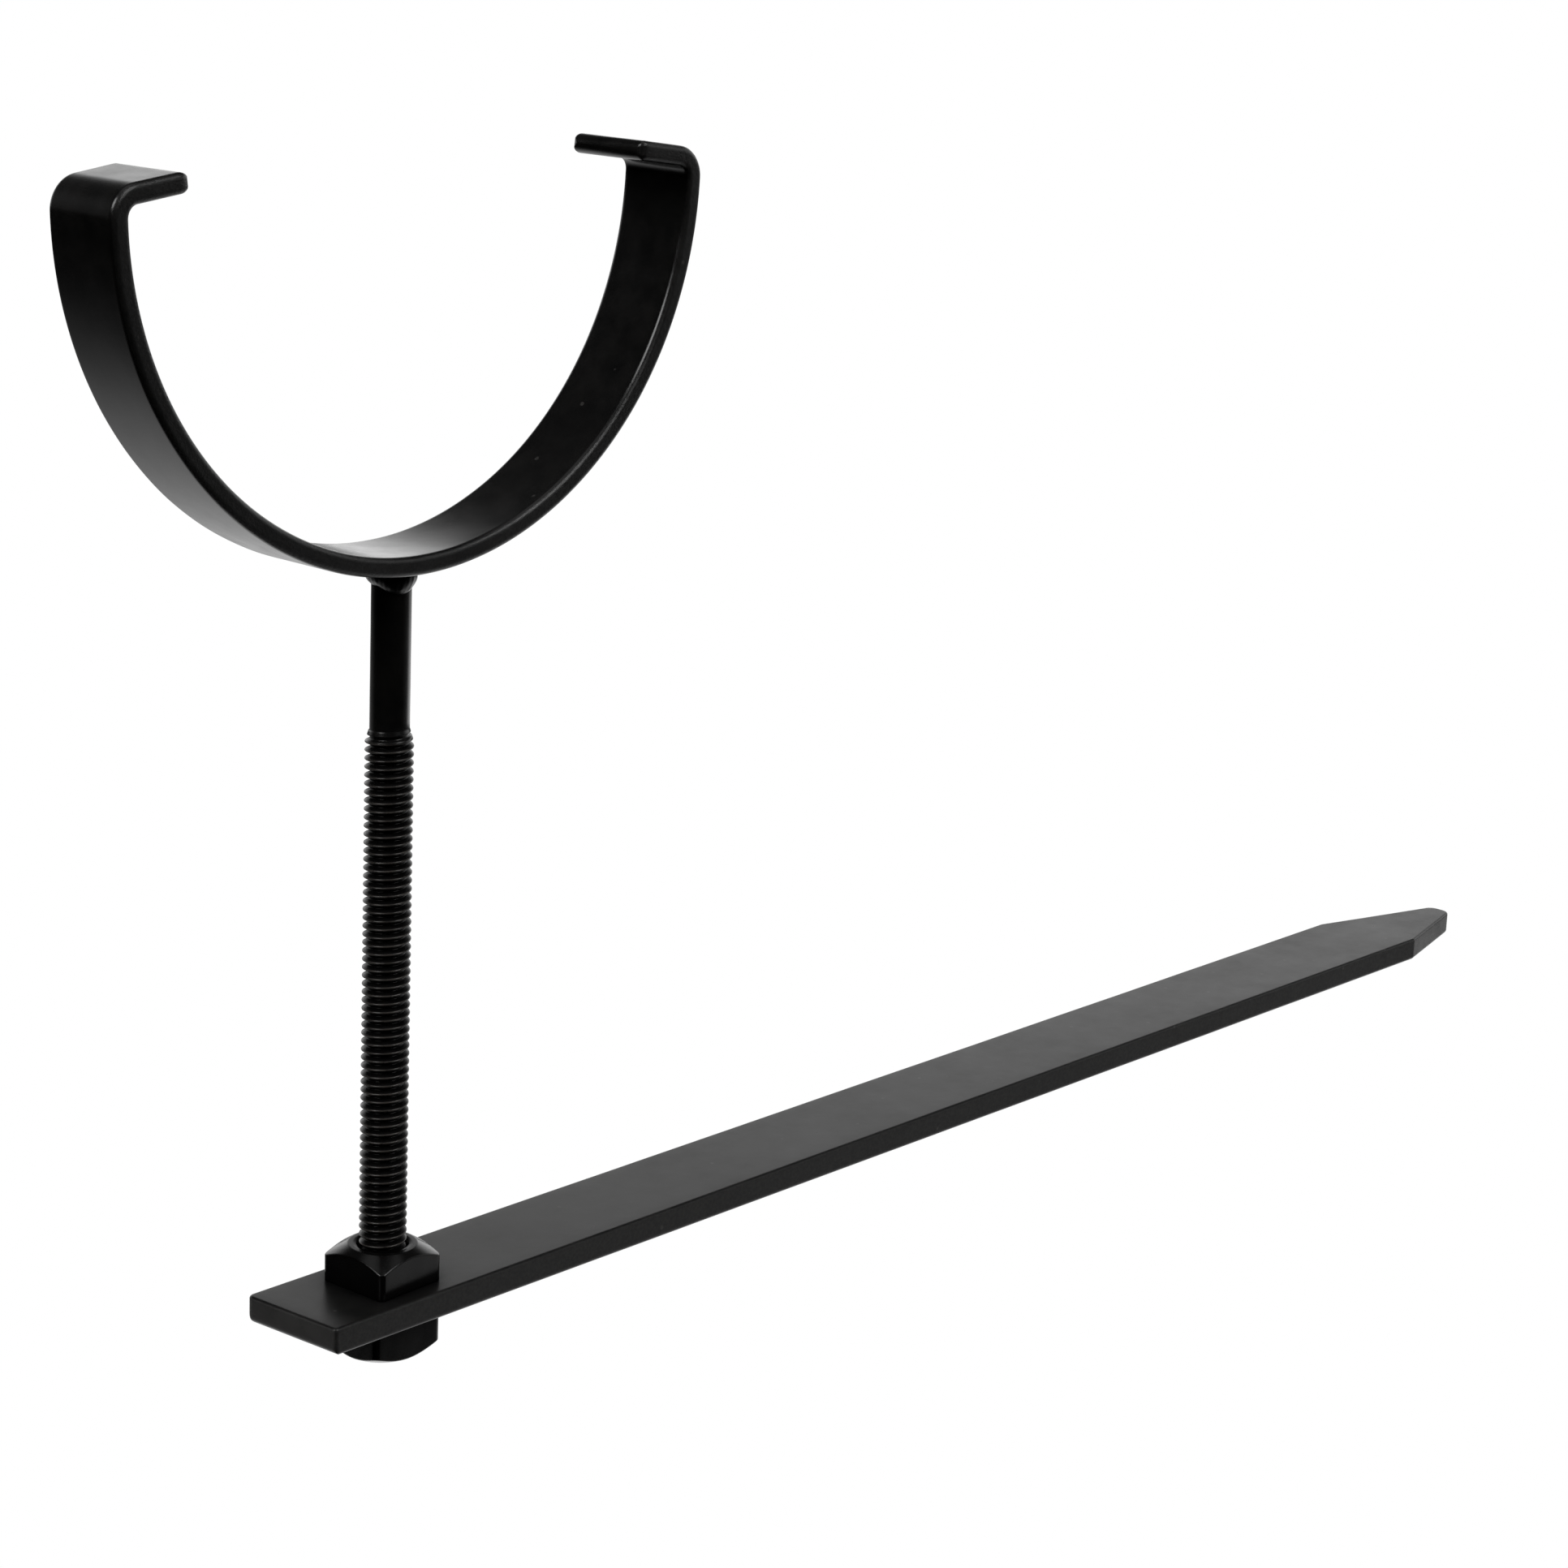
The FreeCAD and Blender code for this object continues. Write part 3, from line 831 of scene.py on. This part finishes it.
def add_flat_face(verts, faces, ring, hole, inner):
    """A triangle mesh between a ring and the stud's hole, at the ring's height."""
    count, hole_count = len(ring), len(hole)
    plan = [Vector((v.x, v.y)) for v in ring] + hole + inner
    edges = [(k, (k + 1) % count) for k in range(count)]
    edges += [(count + k, count + (k + 1) % hole_count) for k in range(hole_count)]
    found = geometry.delaunay_2d_cdt(plan, edges, [], 0, 1e-7)
    spots, triangles = found[0], found[2]
    base = len(verts)
    verts += [Vector((p.x, p.y, ring[0].z)) for p in spots]
    for triangle in triangles:
        corners = [spots[k] for k in triangle]
        middle = sum(corners, Vector((0, 0))) / 3
        if middle.length > STUD_HOLE_RADIUS and not is_sliver(corners):
            faces.append(tuple(base + k for k in triangle))


def build_spike():
    low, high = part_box("spike")
    half = (high.y - low.y) / 2
    corners = [  # place and radius, from the front of the struck end on
        (STRUCK_END_X, -half, FRONT_STRUCK_RADIUS),
        (FRONT_SHOULDER_X, -half, SHOULDER_RADIUS),
        (high.x, NOSE_SHIFT - NOSE_WIDTH / 2, NOSE_CORNER_RADIUS),
        (high.x, NOSE_SHIFT + NOSE_WIDTH / 2, NOSE_CORNER_RADIUS),
        (BACK_SHOULDER_X, half, SHOULDER_RADIUS),
        (STRUCK_END_X - STRUCK_END_SKEW, half, BACK_STRUCK_RADIUS),
    ]
    rings = []
    for z, insets in spike_levels(low, high, len(corners)):
        rings.append([Vector((p.x, p.y, z)) for p in plan_outline(corners, insets)])
    verts = [v for ring in rings for v in ring]
    faces = ring_faces(len(rings), len(rings[0]))

    turns = [2 * math.pi * k / HOLE_COLUMNS for k in range(HOLE_COLUMNS)]
    hole = [Vector((math.cos(a), math.sin(a))) * STUD_HOLE_RADIUS for a in turns]
    inner = face_points(low, high)
    add_flat_face(verts, faces, rings[0], hole, inner)
    add_flat_face(verts, faces, rings[-1], hole, inner)
    base = len(verts)
    for ring in (rings[0], rings[-1]):
        verts += [Vector((p.x, p.y, ring[0].z)) for p in hole]
    faces += [tuple(base + k for k in f) for f in ring_faces(2, HOLE_COLUMNS)]

    for v in verts:
        past_nut = (math.hypot(v.x, v.y) - SPIKE_FLAT_NEAR_NUT) / SPIKE_WAVES_GROW
        wander = smooth_noise((v.x, v.y, 0), SPIKE_WAVE, 2.2) + 0.35 * smooth_noise(v, SPIKE_RIPPLE, 6.4)
        v.z += wander * SPIKE_UNEVEN * min(max(past_nut, 0.0), 1.0)
    return piece("spike_bar", verts, faces, "spike", "spike", spike_paint)


# ---------------------------------------------------------------- weld

def weld_drops(underside):
    """Centres and radii of the drops that make up the beads."""
    drops = []
    for first, last, count, radius, reach, depth in WELD_RUNS:
        for i in range(count):
            a = math.radians(first + (last - first) * i / (count - 1))
            wobble = 1.0 + 0.05 * math.sin(i * 2.4 + first)
            centre = Vector((reach * math.cos(a), reach * math.sin(a), underside - depth))
            drops.append((centre, radius * wobble))
    return drops


def melted_reach(origin, ray, drops):
    """How far a ray goes before it leaves the drops, which melt into each other."""
    total = WELD_LEAST_REACH ** WELD_BLEND
    for centre, radius in drops:
        to = origin - centre
        b = to.dot(ray)
        inside = b * b - (to.length_squared - radius * radius)
        if inside > 0:
            total += max(-b + math.sqrt(inside), 0.0) ** WELD_BLEND
    return total ** (1 / WELD_BLEND)


def build_weld():
    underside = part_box("cradle_strap")[0].z
    drops = weld_drops(underside)
    first_lean, last_lean = WELD_LEAN
    verts = []
    for k in range(WELD_ROWS + 1):
        for j in range(WELD_COLUMNS):
            angle = 2 * math.pi * j / WELD_COLUMNS
            outward = Vector((math.cos(angle), math.sin(angle), 0))
            origin = outward * (SHANK_RADIUS - WELD_TUCK) + Vector((0, 0, underside + WELD_TUCK))
            lean = math.radians(first_lean + (last_lean - first_lean) * k / WELD_ROWS)
            ray = outward * math.cos(lean) + Vector((0, 0, -math.sin(lean)))
            point = origin + ray * melted_reach(origin, ray, drops)
            ripple = math.sin(angle * WELD_RIPPLES + lean * 3.0) * WELD_RIPPLE_HEIGHT
            ripple += smooth_noise(point, WELD_LUMP, 4.0) * WELD_LUMP_HEIGHT
            point += ray * ripple * math.sin(math.pi * k / WELD_ROWS)
            verts.append(point)
    faces = ring_faces(WELD_ROWS + 1, WELD_COLUMNS)

    # closed over inside the strap and inside the stud
    base = len(verts)
    for share in (1.0, 0.6, 0.3):
        first_row = verts[:WELD_COLUMNS]
        verts += [Vector((v.x * share, v.y * share, underside + WELD_CLOSED_AT)) for v in first_row]
    faces += [tuple(base + i for i in f) for f in ring_faces(3, WELD_COLUMNS)]
    last_row, innermost = WELD_ROWS * WELD_COLUMNS, base + 2 * WELD_COLUMNS
    for j in range(WELD_COLUMNS):
        k = (j + 1) % WELD_COLUMNS
        faces.append((j, k, base + k, base + j))
        faces.append((last_row + j, last_row + k, innermost + k, innermost + j))
    return piece("weld_metal", verts, faces, "hanger", "weld_beads", weld_paint)


build_strap()
build_stud()
build_nut("nut_upper_body", "upper_nut", UPPER_CROWN_RADIUS, 1, NUT_TURN)
build_nut("nut_lower_body", "lower_nut", LOWER_CROWN_RADIUS, -1, -NUT_TURN)
build_spike()
build_weld()


# ---------------------------------------------------------------- floor, light and camera

def to_camera_or_not(n, for_camera, otherwise):
    """One strength for what the camera sees directly and another for reflections and bounced light."""
    seen = n.add("ShaderNodeLightPath").outputs["Is Camera Ray"]
    return n.sum(n.product(seen, for_camera), n.product(n.math("SUBTRACT", 1.0, seen), otherwise))


def pool_of_light(n, place, incoming):
    """Light on the floor that fades with distance and shows only to rays along LIT_HEADING."""
    ahead = Vector((math.sin(CAMERA_YAW), math.cos(CAMERA_YAW), 0.0))
    depth = n.dot(place, ahead)
    side = n.dot(place, Vector((ahead.y, -ahead.x, 0.0)))
    near = n.product(n.math("MINIMUM", depth, 0.0), POOL_SHRINK_NEAR)
    far = n.product(n.math("MAXIMUM", depth, 0.0), POOL_SHRINK_FAR)
    away = n.sum(near, far)
    spread = n.sum(n.product(away, away), n.product(side, side))
    fall = n.sum(n.math("DIVIDE", spread, POOL_RADIUS ** 2), 1.0)
    pool = n.math("DIVIDE", POOL_LEVEL, n.product(fall, fall))
    heading = n.product(n.dot(incoming, LIT_HEADING), -1.0)
    pool = n.product(pool, n.ramp(heading, -0.05, 0.35))
    apart = n.add("ShaderNodeVectorMath", {0: place, 1: PATCH_PLACE}, operation="DISTANCE").outputs["Value"]
    patch = n.product(n.ramp(apart, *PATCH_SPAN, 0.0, PATCH_LEVEL), n.ramp(heading, 0.45, 0.75))
    return n.sum(pool, patch)


def build_floor():
    """A pale floor, white to the camera and clear from below."""
    bpy.ops.mesh.primitive_grid_add(x_subdivisions=8, y_subdivisions=8, size=2 * FLOOR_REACH,
                                    location=(FLOOR_CENTRE_X, 0, FLOOR_Z))
    floor = bpy.context.active_object
    floor.name = "studio_floor"
    material = bpy.data.materials.new("floor_white")
    material.use_nodes = True
    n = Nodes(material.node_tree)
    geo = n.add("ShaderNodeNewGeometry")
    pool = pool_of_light(n, geo.outputs["Position"], geo.outputs["Incoming"])
    level = to_camera_or_not(n, 1.0, pool)
    glow = n.add("ShaderNodeEmission", {"Color": (1, 1, 1, 1), "Strength": level})
    clear = n.add("ShaderNodeBsdfTransparent")
    from_below = geo.outputs["Backfacing"]
    mix = n.add("ShaderNodeMixShader", {0: from_below, 1: glow.outputs[0], 2: clear.outputs[0]})
    n.add("ShaderNodeOutputMaterial", {0: mix.outputs[0]})
    floor.data.materials.append(material)


def build_world():
    """Soft studio surroundings: a bright sweep behind, a light overhead and two lamps above the camera."""
    world = bpy.data.worlds.new("studio")
    bpy.context.scene.world = world
    world.use_nodes = True
    n = Nodes(world.node_tree)
    direction = n.add("ShaderNodeTexCoord").outputs["Generated"]
    z = n.add("ShaderNodeSeparateXYZ", {0: direction}).outputs[2]

    behind = n.ramp(n.dot(direction, LIT_HEADING), -0.10, 0.75)
    sweep = n.product(behind, n.ramp(z, *SWEEP_HEIGHTS, 0.02, SWEEP_LEVEL))
    overhead = n.ramp(z, *OVERHEAD_HEIGHTS, 0.0, OVERHEAD_LEVEL)
    level = n.sum(n.sum(sweep, overhead), DIM_LEVEL)
    for source, strength in LAMPS:
        lamp = n.ramp(n.dot(direction, source.normalized()), *LAMP_EDGE, 0.0, strength)
        level = n.sum(level, lamp)
    level = to_camera_or_not(n, 1.0, level)
    shade = n.add("ShaderNodeBackground", {"Color": (1, 1, 1, 1), "Strength": level})
    n.add("ShaderNodeOutputWorld", {0: shade.outputs[0]})


def build_camera():
    cy, sy = math.cos(CAMERA_YAW), math.sin(CAMERA_YAW)
    cp, sp = math.cos(CAMERA_PITCH), math.sin(CAMERA_PITCH)
    forward = Vector((sy * cp, cy * cp, -sp))
    right = Vector((cy, -sy, 0.0))
    up = right.cross(forward)
    turned_right = right * math.cos(CAMERA_ROLL) + up * math.sin(CAMERA_ROLL)
    turned_up = up * math.cos(CAMERA_ROLL) - right * math.sin(CAMERA_ROLL)
    data = bpy.data.cameras.new("camera")
    data.lens = CAMERA_LENS
    data.sensor_width = 36.0
    data.clip_start = 0.01
    data.clip_end = 60.0
    camera = bpy.data.objects.new("camera", data)
    bpy.context.scene.collection.objects.link(camera)
    columns = (turned_right, turned_up, -forward)
    for i in range(3):
        for k in range(3):
            camera.matrix_world[i][k] = columns[k][i]
        camera.matrix_world[i][3] = CAMERA_PLACE[i]
    bpy.context.scene.camera = camera


build_floor()
build_world()
build_camera()
bpy.context.scene.view_settings.view_transform = "Standard"
